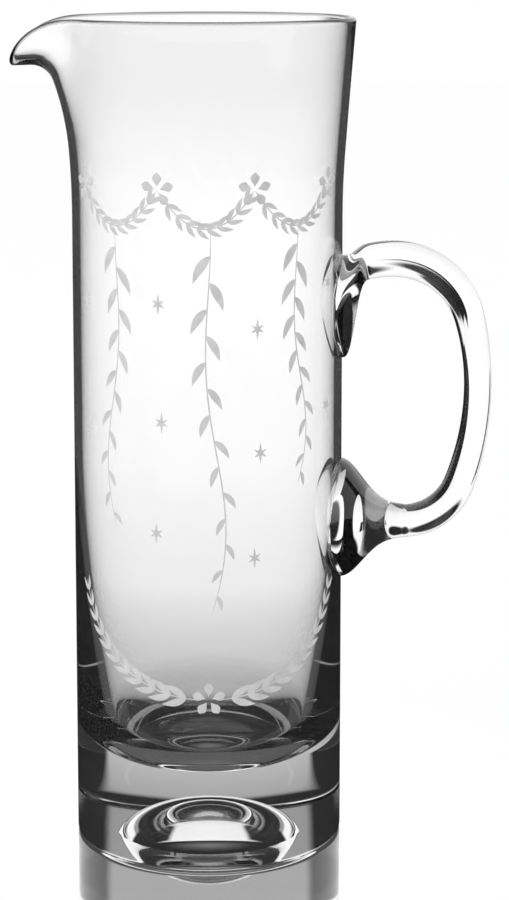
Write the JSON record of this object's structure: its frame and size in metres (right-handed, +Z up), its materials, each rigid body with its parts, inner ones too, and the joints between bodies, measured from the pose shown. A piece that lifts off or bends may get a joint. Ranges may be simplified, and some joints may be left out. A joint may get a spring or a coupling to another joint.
{
  "type": "cocktail pitcher",
  "caption": "Tall straight clear-glass pitcher with a heavy hollowed foot, gently flared rim, pulled pouring lip and applied loop handle, for mixing and pouring cocktails.",
  "frame": {"origin": "on the vessel's axis, in the plane of the foot ring that it stands on", "axes": "+Z up along the vessel's axis, -X towards the spout, +X towards the handle, +Y across"},
  "size_m": [0.1591, 0.0974, 0.2745],
  "materials": {
    "vessel_glass": "clear blown glass, fire-polished rim, ground and polished foot",
    "handle_glass": "clear solid glass, fire-polished"
  },
  "bodies": {
    "root": {"vessel": "vessel_glass", "handle": "handle_glass"}
  },
  "joints": []
}
